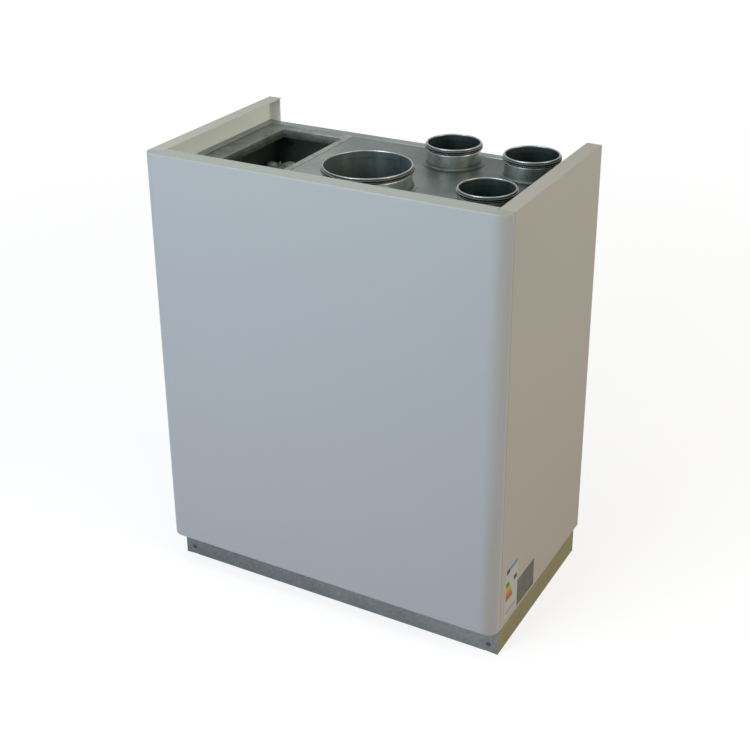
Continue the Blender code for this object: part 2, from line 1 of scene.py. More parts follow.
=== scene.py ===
import json
import math
import bmesh
import bpy
import numpy as np
from mathutils import Euler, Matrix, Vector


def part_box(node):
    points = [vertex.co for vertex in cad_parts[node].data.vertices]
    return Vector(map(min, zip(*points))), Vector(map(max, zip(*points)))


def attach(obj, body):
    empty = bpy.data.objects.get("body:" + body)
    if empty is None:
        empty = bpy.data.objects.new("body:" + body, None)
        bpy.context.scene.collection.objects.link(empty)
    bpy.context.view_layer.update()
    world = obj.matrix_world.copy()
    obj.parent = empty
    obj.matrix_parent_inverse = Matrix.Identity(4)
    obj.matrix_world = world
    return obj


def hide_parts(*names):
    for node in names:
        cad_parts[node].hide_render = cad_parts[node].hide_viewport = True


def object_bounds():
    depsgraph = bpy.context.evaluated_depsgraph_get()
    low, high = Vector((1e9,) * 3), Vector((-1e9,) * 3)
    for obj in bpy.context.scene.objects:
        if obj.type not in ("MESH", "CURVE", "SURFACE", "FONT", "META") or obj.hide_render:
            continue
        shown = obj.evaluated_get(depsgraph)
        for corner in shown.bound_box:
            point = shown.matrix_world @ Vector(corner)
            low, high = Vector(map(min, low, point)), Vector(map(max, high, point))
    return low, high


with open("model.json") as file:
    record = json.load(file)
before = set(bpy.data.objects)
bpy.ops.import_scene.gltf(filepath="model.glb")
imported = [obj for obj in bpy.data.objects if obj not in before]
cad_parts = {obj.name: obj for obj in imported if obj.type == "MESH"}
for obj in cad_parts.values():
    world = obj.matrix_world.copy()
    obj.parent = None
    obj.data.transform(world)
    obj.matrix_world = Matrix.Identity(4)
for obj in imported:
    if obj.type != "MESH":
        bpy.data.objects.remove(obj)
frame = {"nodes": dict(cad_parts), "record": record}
cadLow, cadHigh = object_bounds()
nodes = frame["nodes"]
print("frame loaded:", len(nodes), "nodes")

# Camera at the photograph's place, in metres and radians
camera = {
    "place": (1.4058, -2.5367, 2.0209),
    "turn": (1.1504, 0.0069, 0.5023),
    "lens": 64.14,
    "sensor": 36.0,
    "shiftX": 0.0,
    "shiftY": -0.100,
}

lights = {
    "worldStrength": 0.35,
    "worldGlossy": 0.70,     # what metal and gloss show of the pale room
    "worldColour": (0.98, 1.0, 1.0),
    "front": {"place": (-0.75, -3.25, 1.80), "aim": (0.0, -0.2, 0.75), "level": 0.76, "size": 1.8,
              "colour": (0.72, 0.86, 1.0)},
    "side": {"place": (5.6, -0.3, 2.9), "aim": (0.3, 0.0, 0.7), "level": 0.40, "size": 2.6,
             "colour": (1.0, 0.86, 0.70)},
    "top": {"place": (-0.20, -0.42, 2.35), "aim": (0.0, 0.0, 1.05), "level": 0.42, "size": 0.9,
            "colour": (1.0, 1.0, 0.97)},
}


# Shader helpers

def newMaterial(name):
    material = bpy.data.materials.new(name)
    material.use_nodes = True
    return material, material.node_tree, material.node_tree.nodes["Principled BSDF"]


def addNode(tree, kind, values=None, **settings):
    node = tree.nodes.new(kind)
    for key, value in settings.items():
        setattr(node, key, value)
    for key, value in (values or {}).items():
        node.inputs[key].default_value = value
    return node


def addMath(tree, operation, first, second=0.0):
    node = addNode(tree, "ShaderNodeMath", operation=operation)
    for socket, value in zip(node.inputs, (first, second)):
        if isinstance(value, (int, float)):
            socket.default_value = value
        else:
            tree.links.new(value, socket)
    return node.outputs[0]


def addRange(tree, value, low, high, newLow=0.0, newHigh=1.0):
    node = addNode(tree, "ShaderNodeMapRange",
                   {"From Min": low, "From Max": high, "To Min": newLow, "To Max": newHigh})
    tree.links.new(value, node.inputs["Value"])
    return node.outputs["Result"]


def mixColours(tree, factor, first, second, blend="MIX"):
    node = addNode(tree, "ShaderNodeMix", data_type="RGBA", blend_type=blend)
    for key, value in (("Factor", factor), ("A", first), ("B", second)):
        socket = node.inputs[key]
        if isinstance(value, tuple):
            socket.default_value = (*value, 1)
        elif isinstance(value, (int, float)):
            socket.default_value = value
        else:
            tree.links.new(value, socket)
    return node.outputs["Result"]


def scaleColour(tree, colour, level):
    node = addNode(tree, "ShaderNodeVectorMath", operation="SCALE")
    tree.links.new(colour, node.inputs[0])
    tree.links.new(level, node.inputs["Scale"])
    return node.outputs["Vector"]


def newGroup(name, inputs, outputs):
    # a shader node group with plain named sockets; returns it with its two end nodes
    group = bpy.data.node_groups.new(name, "ShaderNodeTree")
    for label, kind, value in inputs:
        socket = group.interface.new_socket(label, in_out="INPUT", socket_type=kind)
        socket.default_value = value
    for label, kind in outputs:
        group.interface.new_socket(label, in_out="OUTPUT", socket_type=kind)
    return group, group.nodes.new("NodeGroupInput"), group.nodes.new("NodeGroupOutput")


def placeGroup(tree, group, values):
    node = tree.nodes.new("ShaderNodeGroup")
    node.node_tree = group
    for key, value in values.items():
        isColour = node.inputs[key].type == "RGBA"
        node.inputs[key].default_value = (*value, 1) if isColour else value
    return node


def splitPlace(tree):
    # the three parts of the place in Object coordinates
    split = addNode(tree, "ShaderNodeSeparateXYZ")
    tree.links.new(addNode(tree, "ShaderNodeTexCoord").outputs["Object"], split.inputs["Vector"])
    return split.outputs["X"], split.outputs["Y"], split.outputs["Z"]


def addBump(tree, shader, height, distance):
    bump = addNode(tree, "ShaderNodeBump", {"Strength": 1.0, "Distance": distance})
    tree.links.new(height, bump.inputs["Height"])
    tree.links.new(bump.outputs["Normal"], shader.inputs["Normal"])


# Effects that several materials share

def makePowderCoat():
    # sprayed paint: faint cloudy tint and fine orange peel, with a painted shade that changes the tone low down
    inputs = (("Colour", "NodeSocketColor", (0.4, 0.4, 0.4, 1)),
              ("Lit Low Colour", "NodeSocketColor", (0.3, 0.3, 0.3, 1)),
              ("Cloud", "NodeSocketFloat", 0.04), ("Gloss", "NodeSocketFloat", 0.3))
    outputs = (("Colour", "NodeSocketColor"), ("Roughness", "NodeSocketFloat"), ("Height", "NodeSocketFloat"))
    group, start, end = newGroup("powderCoat", inputs, outputs)
    place = addNode(group, "ShaderNodeTexCoord")
    cloud = addNode(group, "ShaderNodeTexNoise", {"Scale": 3.0, "Detail": 4.0, "Roughness": 0.6})
    peel = addNode(group, "ShaderNodeTexNoise", {"Scale": 420.0, "Detail": 2.0, "Roughness": 0.5})
    speck = addNode(group, "ShaderNodeTexNoise", {"Scale": 60.0, "Detail": 5.0, "Roughness": 0.7})
    for texture in (cloud, peel, speck):
        group.links.new(place.outputs["Object"], texture.inputs["Vector"])
    # painted shade: towards the bottom the colour turns to the low colour
    height = addRange(group, splitPlace(group)[2], 0.05, 1.10)
    ground = mixColours(group, height, start.outputs["Lit Low Colour"], start.outputs["Colour"])
    swing = addMath(group, "MULTIPLY", addMath(group, "SUBTRACT", cloud.outputs["Fac"], 0.5),
                    start.outputs["Cloud"])
    level = addMath(group, "ADD", 1.0, swing)
    group.links.new(scaleColour(group, ground, level), end.inputs["Colour"])
    rough = addMath(group, "ADD", start.outputs["Gloss"],
                    addMath(group, "MULTIPLY", addMath(group, "SUBTRACT", speck.outputs["Fac"], 0.5), 0.12))
    group.links.new(rough, end.inputs["Roughness"])
    group.links.new(peel.outputs["Fac"], end.inputs["Height"])
    return group


def makeZincSpangle():
    # galvanised sheet: soft clouds of tone with faint crystal cells, and fine rolling lines in the height.
    # the tone is also multiplied by 1 + (place - Drift From) . Drift, a painted light and shade that drifts
    # along the sheet
    inputs = (("Dark", "NodeSocketColor", (0.2, 0.2, 0.2, 1)), ("Light", "NodeSocketColor", (0.5, 0.5, 0.5, 1)),
              ("Cell Scale", "NodeSocketFloat", 90.0), ("Cell Share", "NodeSocketFloat", 0.15),
              ("Cloud Scale", "NodeSocketFloat", 9.0), ("Gloss", "NodeSocketFloat", 0.35),
              ("Line Squeeze", "NodeSocketVector", (1, 1, 1)), ("Cloud Squeeze", "NodeSocketVector", (1, 1, 1)),
              ("Drift", "NodeSocketVector", (0, 0, 0)), ("Drift From", "NodeSocketVector", (0, 0, 0)))
    outputs = (("Colour", "NodeSocketColor"), ("Roughness", "NodeSocketFloat"), ("Height", "NodeSocketFloat"))
    group, start, end = newGroup("zincSpangle", inputs, outputs)
    place = addNode(group, "ShaderNodeTexCoord")
    warp = addNode(group, "ShaderNodeTexNoise", {"Scale": 70.0, "Detail": 2.0})
    group.links.new(place.outputs["Object"], warp.inputs["Vector"])
    moved = addNode(group, "ShaderNodeVectorMath", operation="MULTIPLY_ADD")
    moved.inputs[1].default_value = (0.006, 0.006, 0.006)
    group.links.new(warp.outputs["Color"], moved.inputs[0])
    group.links.new(place.outputs["Object"], moved.inputs[2])
    cells = addNode(group, "ShaderNodeTexVoronoi", feature="F1")
    group.links.new(moved.outputs["Vector"], cells.inputs["Vector"])
    group.links.new(start.outputs["Cell Scale"], cells.inputs["Scale"])
    tone = addNode(group, "ShaderNodeSeparateColor")
    group.links.new(cells.outputs["Color"], tone.inputs["Color"])
    stretched = addNode(group, "ShaderNodeVectorMath", operation="MULTIPLY")
    group.links.new(place.outputs["Object"], stretched.inputs[0])
    group.links.new(start.outputs["Line Squeeze"], stretched.inputs[1])
    lines = addNode(group, "ShaderNodeTexNoise", {"Scale": 40.0, "Detail": 5.0, "Roughness": 0.6})
    group.links.new(stretched.outputs["Vector"], lines.inputs["Vector"])
    cloud = addNode(group, "ShaderNodeTexNoise", {"Detail": 3.0})
    clouded = addNode(group, "ShaderNodeVectorMath", operation="MULTIPLY")
    group.links.new(place.outputs["Object"], clouded.inputs[0])
    group.links.new(start.outputs["Cloud Squeeze"], clouded.inputs[1])
    group.links.new(clouded.outputs["Vector"], cloud.inputs["Vector"])
    group.links.new(start.outputs["Cloud Scale"], cloud.inputs["Scale"])
    rest = addMath(group, "SUBTRACT", 1.0, start.outputs["Cell Share"])
    wash = addRange(group, cloud.outputs["Fac"], 0.32, 0.68)
    blend = addMath(group, "ADD", addMath(group, "MULTIPLY", tone.outputs["Red"], start.outputs["Cell Share"]),
                    addMath(group, "MULTIPLY", wash, rest))
    shaded = mixColours(group, blend, start.outputs["Dark"], start.outputs["Light"])
    # painted light and shade: the tone is scaled along the sheet by the drift
    away = addNode(group, "ShaderNodeVectorMath", operation="SUBTRACT")
    group.links.new(place.outputs["Object"], away.inputs[0])
    group.links.new(start.outputs["Drift From"], away.inputs[1])
    slope = addNode(group, "ShaderNodeVectorMath", operation="DOT_PRODUCT")
    group.links.new(away.outputs["Vector"], slope.inputs[0])
    group.links.new(start.outputs["Drift"], slope.inputs[1])
    tilted = addMath(group, "ADD", slope.outputs["Value"], 1.0)
    drift = addMath(group, "MAXIMUM", tilted, 0.45)   # never darker than this share
    group.links.new(scaleColour(group, shaded, drift), end.inputs["Colour"])
    rough = addMath(group, "ADD", start.outputs["Gloss"],
                    addMath(group, "MULTIPLY", addMath(group, "SUBTRACT", tone.outputs["Green"], 0.5), 0.05))
    group.links.new(rough, end.inputs["Roughness"])
    group.links.new(lines.outputs["Fac"], end.inputs["Height"])
    return group


def makeFineGrain():
    # moulded or foamed surface: two sizes of noise for tone, gloss and height
    inputs = (("Dark", "NodeSocketColor", (0.02, 0.02, 0.02, 1)),
              ("Light", "NodeSocketColor", (0.1, 0.1, 0.1, 1)),
              ("Grain Scale", "NodeSocketFloat", 300.0), ("Gloss", "NodeSocketFloat", 0.5))
    outputs = (("Colour", "NodeSocketColor"), ("Roughness", "NodeSocketFloat"), ("Height", "NodeSocketFloat"))
    group, start, end = newGroup("fineGrain", inputs, outputs)
    place = addNode(group, "ShaderNodeTexCoord")
    grain = addNode(group, "ShaderNodeTexNoise", {"Detail": 4.0, "Roughness": 0.6})
    cloud = addNode(group, "ShaderNodeTexNoise", {"Scale": 18.0, "Detail": 3.0})
    for texture in (grain, cloud):
        group.links.new(place.outputs["Object"], texture.inputs["Vector"])
    group.links.new(start.outputs["Grain Scale"], grain.inputs["Scale"])
    both = addMath(group, "MULTIPLY", addMath(group, "ADD", grain.outputs["Fac"], cloud.outputs["Fac"]), 0.5)
    blend = addRange(group, both, 0.35, 0.65)
    colour = mixColours(group, blend, start.outputs["Dark"], start.outputs["Light"])
    group.links.new(colour, end.inputs["Colour"])
    rough = addMath(group, "ADD", start.outputs["Gloss"],
                    addMath(group, "MULTIPLY", addMath(group, "SUBTRACT", grain.outputs["Fac"], 0.5), 0.2))
    group.links.new(rough, end.inputs["Roughness"])
    group.links.new(grain.outputs["Fac"], end.inputs["Height"])
    return group


def makeTinting():
    # multiplies a colour by a tint as far as the mask says
    inputs = (("Colour", "NodeSocketColor", (0.5, 0.5, 0.5, 1)), ("Tint", "NodeSocketColor", (1, 1, 1, 1)),
              ("Mask", "NodeSocketFloat", 0.0))
    group, start, end = newGroup("tinting", inputs, (("Colour", "NodeSocketColor"),))
    tinted = mixColours(group, 1.0, start.outputs["Colour"], start.outputs["Tint"], "MULTIPLY")
    colour = mixColours(group, start.outputs["Mask"], start.outputs["Colour"], tinted)
    group.links.new(colour, end.inputs["Colour"])
    return group


powderCoat = makePowderCoat()
zincSpangle = makeZincSpangle()
fineGrain = makeFineGrain()
tinting = makeTinting()


def finishFrom(name, group, values, bump, shaderValues):
    # one material: the group's colour, roughness and height on a Principled shader
    material, tree, shader = newMaterial(name)
    effect = placeGroup(tree, group, values)
    tree.links.new(effect.outputs["Colour"], shader.inputs["Base Color"])
    tree.links.new(effect.outputs["Roughness"], shader.inputs["Roughness"])
    addBump(tree, shader, effect.outputs["Height"], bump)
    for key, value in shaderValues.items():
        shader.inputs[key].default_value = value
    return material


# Three kinds of finish; bump is the height of the finest relief in metres

# the second colour is the painted shade low down on the panel
def paintFinish(name, colour, litLowColour, gloss):
    return finishFrom(name, powderCoat, {"Colour": colour, "Lit Low Colour": litLowColour, "Gloss": gloss},
                      0.00002, {"Specular IOR Level": 0.40})


def zincFinish(name, dark, light, metallic, values, bump=0.00001, specular=0.5):
    return finishFrom(name, zincSpangle, {"Dark": dark, "Light": light, **values}, bump,
                      {"Metallic": metallic, "Specular IOR Level": specular})


def grainFinish(name, dark, light, scale, gloss, bump, shaderValues=None):
    return finishFrom(name, fineGrain, {"Dark": dark, "Light": light, "Grain Scale": scale, "Gloss": gloss},
                      bump, shaderValues or {})


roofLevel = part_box("service_frame")[1].z
finishes = {
    # one paint on every panel, toned apart as painted light: the right panel warmer, the left lighter and warmer
    "front_paint": paintFinish("frontPaint", (0.408, 0.419, 0.420), (0.420, 0.411, 0.424), 0.46),
    "side_paint": paintFinish("sidePaint", (0.420, 0.404, 0.352), (0.390, 0.352, 0.288), 0.48),
    "left_paint": paintFinish("leftPaint", (0.455, 0.448, 0.400), (0.410, 0.385, 0.330), 0.48),
    # roof: darker towards the right and the rear, painted reflection and shade of the spigots
    "roof_zinc": zincFinish("roofZinc", (0.245, 0.283, 0.264), (0.339, 0.387, 0.363), 0.96,
                            {"Cell Scale": 75.0, "Cell Share": 0.15, "Cloud Scale": 12.0, "Gloss": 0.40,
                             "Line Squeeze": (0.3, 3.0, 1.0),
                             "Drift": (-1.4, -1.6, 0.0), "Drift From": (-0.03, -0.03, 1.0)}),
    # service frame: darker to the left and down its lip, painted shade from the left panel and in the opening
    "frame_zinc": zincFinish("frameZinc", (0.17, 0.185, 0.165), (0.33, 0.355, 0.33), 0.75,
                             {"Cell Scale": 110.0, "Cell Share": 0.35, "Cloud Scale": 28.0, "Gloss": 0.55,
                              "Line Squeeze": (0.3, 3.0, 1.0),
                              "Drift": (2.0, 0.0, 34.0), "Drift From": (-0.35, 0.0, roofLevel)}),
    "casing_zinc": zincFinish("casingZinc", (0.25, 0.28, 0.27), (0.36, 0.39, 0.37), 0.8,
                              {"Cell Scale": 75.0, "Cell Share": 0.15, "Gloss": 0.36,
                               "Line Squeeze": (0.3, 3.0, 1.0)}),
    # tub: zinc written far darker than the casing's, painted shade deep in the service compartment
    "tub_zinc": zincFinish("tubZinc", (0.070, 0.095, 0.085), (0.11, 0.145, 0.13), 0.75,
                           {"Cell Scale": 60.0, "Cell Share": 0.2, "Gloss": 0.42,
                            "Line Squeeze": (1.0, 0.3, 3.0)}),
    # plinth: darker towards the floor and to the left, painted shade
    "plinth_zinc": zincFinish("plinthZinc", (0.122, 0.127, 0.129), (0.207, 0.212, 0.206), 0.20,
                              {"Cell Scale": 220.0, "Cell Share": 0.65, "Cloud Scale": 9.0, "Gloss": 0.55,
                               "Line Squeeze": (0.4, 0.4, 3.0),
                               "Drift": (0.35, 0.0, 4.0), "Drift From": (-0.20, 0.0, 0.030)}),
    # right plinth rail: olive tone, painted light of the warm light on that side
    "plinth_warm_lit_zinc": zincFinish("plinthWarmLitZinc", (0.170, 0.142, 0.038), (0.225, 0.187, 0.060), 0.20,
                                   {"Cell Scale": 220.0, "Cell Share": 0.4, "Cloud Scale": 14.0, "Gloss": 0.55,
                                    "Line Squeeze": (0.4, 0.4, 3.0)}),
    # spigots: lighter on the left and near the top, darker to the right and the bottom, painted reflection and
    # shade
    "spigot_zinc": zincFinish("spigotZinc", (0.31, 0.345, 0.325), (0.59, 0.64, 0.61), 0.92,
                              {"Cell Scale": 150.0, "Cell Share": 0.2, "Cloud Scale": 48.0, "Gloss": 0.38,
                               "Cloud Squeeze": (1.0, 1.0, 0.4), "Line Squeeze": (0.4, 0.4, 4.0),
                               "Drift": (-1.0, 0.0, 7.0), "Drift From": (0.1, 0.0, 1.075)}, 0.00002),
    "rim_zinc": zincFinish("rimZinc", (0.35, 0.38, 0.37), (0.48, 0.515, 0.505), 0.92,
                           {"Cell Scale": 200.0, "Cell Share": 0.2, "Cloud Scale": 30.0, "Gloss": 0.34,
                            "Line Squeeze": (0.4, 0.4, 1.0)}),
    # spigots' flared feet: darker zinc, painted shade at the base
    "foot_shade_zinc": zincFinish("footShadeZinc", (0.10, 0.115, 0.108), (0.17, 0.19, 0.18), 0.80,
                            {"Cell Scale": 120.0, "Cell Share": 0.2, "Cloud Scale": 30.0, "Gloss": 0.58,
                             "Line Squeeze": (0.4, 0.4, 3.0)}),
    "foam": grainFinish("darkFoam", (0.010, 0.013, 0.012), (0.028, 0.033, 0.031), 260.0, 0.8, 0.0003),
    "roof_seal_rubber": grainFinish("roofSealRubber", (0.010, 0.010, 0.010), (0.03, 0.03, 0.03),
                                    400.0, 0.7, 0.0002),
    "seal_rubber": grainFinish("sealRubber", (0.003, 0.005, 0.006), (0.007, 0.010, 0.012),
                               500.0, 0.42, 0.00002, {"Specular IOR Level": 0.30}),
    # painted highlight: light rubber on the upper sides of the seal's fins
    "lip_highlight_rubber": grainFinish("lipHighlightRubber", (0.25, 0.27, 0.27), (0.43, 0.46, 0.46),
                              500.0, 0.34, 0.00002, {"Specular IOR Level": 0.60}),
    "black_plastic": grainFinish("glandPlastic", (0.012, 0.012, 0.012), (0.028, 0.030, 0.028),
                                 600.0, 0.45, 0.00005),
    "terminal_plastic": grainFinish("terminalPlastic", (0.30, 0.32, 0.295), (0.40, 0.42, 0.39),
                                    500.0, 0.40, 0.00005),
}

# inside the spigots: painted shade, zinc written darker the less light falls in
for finishName, materialName, dark, light, gloss, metallic in (
        ("inside_zinc", "insideZinc", (0.075, 0.105, 0.100), (0.16, 0.205, 0.195), 0.34, 0.45),
        ("inside_shade", "insideShade", (0.022, 0.034, 0.032), (0.054, 0.075, 0.071), 0.34, 0.45),
        ("inside_dark", "insideDark", (0.008, 0.020, 0.017), (0.022, 0.048, 0.042), 0.42, 0.30)):
    values = {"Cell Scale": 90.0, "Cell Share": 0.1, "Cloud Scale": 30.0, "Gloss": gloss,
              "Cloud Squeeze": (1.0, 1.0, 0.3), "Line Squeeze": (0.4, 0.4, 4.0)}
    finishes[finishName] = zincFinish(materialName, dark, light, metallic, values)

ownFinish = {"service_frame": "frame_zinc", "side_panel_left": "left_paint", "plinth_right": "plinth_warm_lit_zinc"}
nodeSlots = {row["node"]: row["material_slot"] for row in frame["record"]["subparts"]}
for nodeName, piece in nodes.items():
    finish = finishes[ownFinish.get(nodeName, nodeSlots[nodeName])]
    for materialSlot in piece.material_slots:
        materialSlot.material = finish


# Painted light and shade as tints by the place on a panel: lengths in metres, reach from the edge
paintTints = {
    "sheet": 0.0012,
    # painted light: the left panel's inner faces lighter
    "leftInner": (1.64, 1.83, 1.92),   # only bounced light reaches the left panel's inner faces
    # painted light: the left panel's rear flange lighter still
    "leftRear": (1.90, 1.92, 2.05),
    "leftRearReach": 0.020,
    # painted shade: the front panel's top bend darker
    "frontTop": (0.915, 0.950, 0.870),
    "frontTopReach": 0.0030,
    # painted shade: round the front panel's right corner
    "frontCorner": (0.900, 0.895, 0.830),
    "frontCornerReach": 0.040,
    "frontCornerEnd": 0.010,           # the tint fades out over this last stretch
    # painted shade: the right corner darker still low down
    "cornerLow": (0.95, 0.92, 0.86),
    "cornerLowFrom": 0.45,
    "cornerLowTo": 0.15,
    # painted shade: a dark line on the right panel along its seam with the front panel
    "seam": (0.74, 0.74, 0.76),
    "seamReach": 0.0030,
}


def tintWhere(finishName, mask, tintName):
    tree = finishes[finishName].node_tree
    base = tree.nodes["Principled BSDF"].inputs["Base Color"]
    effect = placeGroup(tree, tinting, {"Tint": paintTints[tintName]})
    tree.links.new(base.links[0].from_socket, effect.inputs["Colour"])
    tree.links.new(mask, effect.inputs["Mask"])
    tree.links.new(effect.outputs["Colour"], base)


def tintPanels():
    # left panel: painted light where the place is inside the sheet and below the top flange, the rear flange
    # apart
    half = paintTints["sheet"] / 2
    low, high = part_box("side_panel_left")
    tree = finishes["left_paint"].node_tree
    across, along, upward = splitPlace(tree)
    inside = addMath(tree, "MULTIPLY", addMath(tree, "GREATER_THAN", across, low.x + half),
                     addMath(tree, "LESS_THAN", upward, high.z - half))
    rear = addMath(tree, "MULTIPLY", addMath(tree, "GREATER_THAN", along, high.y - paintTints["leftRearReach"]),
                   addMath(tree, "GREATER_THAN", across, low.x + 3 * half))
    notRear = addMath(tree, "SUBTRACT", 1.0, rear)
    tintWhere("left_paint", addMath(tree, "MULTIPLY", inside, rear), "leftRear")
    tintWhere("left_paint", addMath(tree, "MULTIPLY", inside, notRear), "leftInner")
    # front panel: painted shade over the top bend, and round the right corner, more so low down
    low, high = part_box("front_panel")
    tree = finishes["front_paint"].node_tree
    across, along, upward = splitPlace(tree)
    reach, end = paintTints["frontTopReach"], paintTints["frontCornerEnd"]
    tintWhere("front_paint", addRange(tree, upward, high.z - reach, high.z - reach / 3), "frontTop")
    corner = addMath(tree, "MULTIPLY",
                     addRange(tree, across, high.x - paintTints["frontCornerReach"], high.x - 2 * end),
                     addRange(tree, across, high.x, high.x - end))
    tintWhere("front_paint", corner, "frontCorner")
    lowCorner = addRange(tree, upward, low.z + paintTints["cornerLowFrom"], low.z + paintTints["cornerLowTo"])
    tintWhere("front_paint", addMath(tree, "MULTIPLY", corner, lowCorner), "cornerLow")
    # right panel: painted shade in the seam beside the front panel
    low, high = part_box("side_panel_right")
    tree = finishes["side_paint"].node_tree
    across, along, upward = splitPlace(tree)
    reach = paintTints["seamReach"]
    tintWhere("side_paint", addRange(tree, along, low.y + reach, low.y + reach / 3), "seam")


tintPanels()
print("finishes placed:", len(finishes))


# Pieces as numpy surfaces

def addMesh(name, verts, faces, material, smooth=True):
    mesh = bpy.data.meshes.new(name)
    mesh.from_pydata(verts.tolist(), [], faces.tolist() if isinstance(faces, np.ndarray) else faces)
    mesh.polygons.foreach_set("use_smooth", np.full(len(mesh.polygons), smooth))
    mesh.materials.append(material)
    piece = bpy.data.objects.new(name, mesh)
    bpy.context.scene.collection.objects.link(piece)
    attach(piece, "root")
    return piece


def gridFaces(rows, columns, closeRows=False, closeColumns=True):
    # four corners of each cell of a grid of rows * columns points
    index = np.arange(rows * columns).reshape(rows, columns)
    if closeRows:
        index = np.vstack([index, index[:1]])
    if closeColumns:
        index = np.hstack([index, index[:, :1]])
    return np.stack([index[:-1, :-1], index[:-1, 1:], index[1:, 1:], index[1:, :-1]], axis=-1).reshape(-1, 4)


def addSurface(name, points, material, smooth=True):
    # points[v, u] is a grid; u runs round a closed outline, v from the back to the front,
    # and each end is closed by a fan to the middle of its row
    rows, columns, _ = points.shape
    quads = gridFaces(rows, columns)
    index = np.arange(rows * columns).reshape(rows, columns)
    after = np.roll(index, -1, axis=1)
    middles = np.stack([points[0].mean(axis=0), points[-1].mean(axis=0)])
    verts = np.vstack([points.reshape(-1, 3), middles])
    back, front = rows * columns, rows * columns + 1
    faces = quads.tolist()
    faces += np.stack([after[0], index[0], np.full(columns, back)], axis=-1).tolist()
    faces += np.stack([index[-1], after[-1], np.full(columns, front)], axis=-1).tolist()
    return addMesh(name, verts, faces, material, smooth=smooth)


def softSection(corners, perCorner=5, hold=0.00025):
    # each corner (r, z, cut) becomes a curve (1-s)^2 a + 2s(1-s) p + s^2 b between the points a and b that lie
    # the cut away from it on its two edges; one more point a little further out on each edge holds the flat
    corners = np.array(corners, dtype=float)
    p, cut = corners[:, :2], corners[:, 2:]
    before, after = np.roll(p, 1, axis=0) - p, np.roll(p, -1, axis=0) - p
    longBefore = np.linalg.norm(before, axis=1, keepdims=True)
    longAfter = np.linalg.norm(after, axis=1, keepdims=True)
    cutBefore, cutAfter = np.minimum(cut, longBefore * 0.46), np.minimum(cut, longAfter * 0.46)
    holdBefore = np.minimum(cutBefore + hold, longBefore * 0.48)
    holdAfter = np.minimum(cutAfter + hold, longAfter * 0.48)
    a, b = p + before / longBefore * cutBefore, p + after / longAfter * cutAfter
    s = np.linspace(0, 1, perCorner)[None, :, None]
    curve = (1 - s) ** 2 * a[:, None] + 2 * s * (1 - s) * p[:, None] + s ** 2 * b[:, None]
    first = (p + before / longBefore * holdBefore)[:, None]
    last = (p + after / longAfter * holdAfter)[:, None]
    return np.concatenate([first, curve, last], axis=1).reshape(-1, 2)


def roundedOutline(width, height, radius, perCorner=6):
    # a rectangle with quarter-circle corners: corner centre + radius * (cos a, sin a)
    angles = np.linspace(0, math.pi / 2, perCorner)
    turns = np.concatenate([angles + quarter * math.pi / 2 for quarter in range(4)])
    signs = np.repeat(np.array([(1, 1), (-1, 1), (-1, -1), (1, -1)]), perCorner, axis=0)
    centres = signs * np.array([width / 2 - radius, height / 2 - radius])
    return centres + radius * np.stack([np.cos(turns), np.sin(turns)], axis=1)


def addTurned(name, section, centre, steps, slot, axis="z", otherRows=(), material=None):
    # a closed section carried round an axis: centre + r * (cos u, sin u) across it and z along it;
    # otherRows gives stretches of the section (first row, last row, finish) a finish of their own
    turns = np.linspace(0, 2 * math.pi, steps, endpoint=False)
    radius, along = section[:, 0][:, None], section[:, 1][:, None]
    across = (radius * np.cos(turns), radius * np.sin(turns))
    level = np.broadcast_to(along, across[0].shape)
    order = (across[0], across[1], level) if axis == "z" else (across[0], -level, across[1])
    points = np.stack(order, axis=-1) + np.array(centre)
    faces = gridFaces(len(section), steps, closeRows=True)
    piece = addMesh(name, points.reshape(-1, 3), faces[:, ::-1], material or finishes[slot])
    slots = np.zeros(len(faces), dtype=int)
    for number, (first, last, finishName) in enumerate(otherRows):
        piece.data.materials.append(finishes[finishName])
        slots[first * steps:last * steps] = number + 1
    piece.data.polygons.foreach_set("material_index", slots)
    return piece


def addTurnedCap(name, section, centre, steps, slot):
    # an open section that ends on the axis at both ends, closed there by fans
    turns = np.linspace(0, 2 * math.pi, steps, endpoint=False)
    radius, along = section[1:-1, 0][:, None], section[1:-1, 1][:, None]
    level = np.broadcast_to(along, (len(along), steps))
    points = np.stack([radius * np.cos(turns), radius * np.sin(turns), level], axis=-1)
    index = np.arange(points.shape[0] * steps).reshape(-1, steps)
    after = np.roll(index, -1, axis=1)
    poles = np.array([(0, 0, section[0, 1]), (0, 0, section[-1, 1])])
    verts = np.vstack([points.reshape(-1, 3), poles]) + np.array(centre)
    low = len(verts) - 1
    faces = gridFaces(points.shape[0], steps)[:, ::-1].tolist()
    faces += np.stack([index[0], after[0], np.full(steps, low - 1)], axis=-1).tolist()
    faces += np.stack([after[-1], index[-1], np.full(steps, low)], axis=-1).tolist()
    return addMesh(name, verts, faces, finishes[slot])


def middleOf(nodeName):
    # the middle of a node's box across, its half width, and its lowest and highest level
    low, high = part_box(nodeName)
    return (low.x + high.x) / 2, (low.y + high.y) / 2, (high.x - low.x) / 2, low.z, high.z


# Spigots with their seals, and the foam liners under them

spigotShape = {
    "flange": 0.0095,
    "sheet": 0.0009,
    "drop": 0.018,
    "lift": 0.0003,
    "flare": 0.0060,
    "rim": 0.0019,
    "rimInset": 0.0002,
    "sealTop": 0.0040,
    "sealBand": 0.0105,
    "groove": 0.0006,
    "step": 0.0011,          # the groove as it shows inside
    "bead": 0.0010,
    "beadBelowSeal": 0.0026,
    "edge": 0.0002,          # how round a cut edge of the sheet is
    "steps": 160,
    "perCorner": 7,          # points that softSection gives each corner
}

sealShape = {
    "fit": 0.0003,           # clear of the groove on each side
    "proud": 0.0006,
    "lipReach": 0.0045,
    "lips": (0.0021, 0.0027),   # the upper lip's middle below the band's top, the lower one's above its bottom
}

linerShape = {"wall": 0.008, "edge": 0.0008}


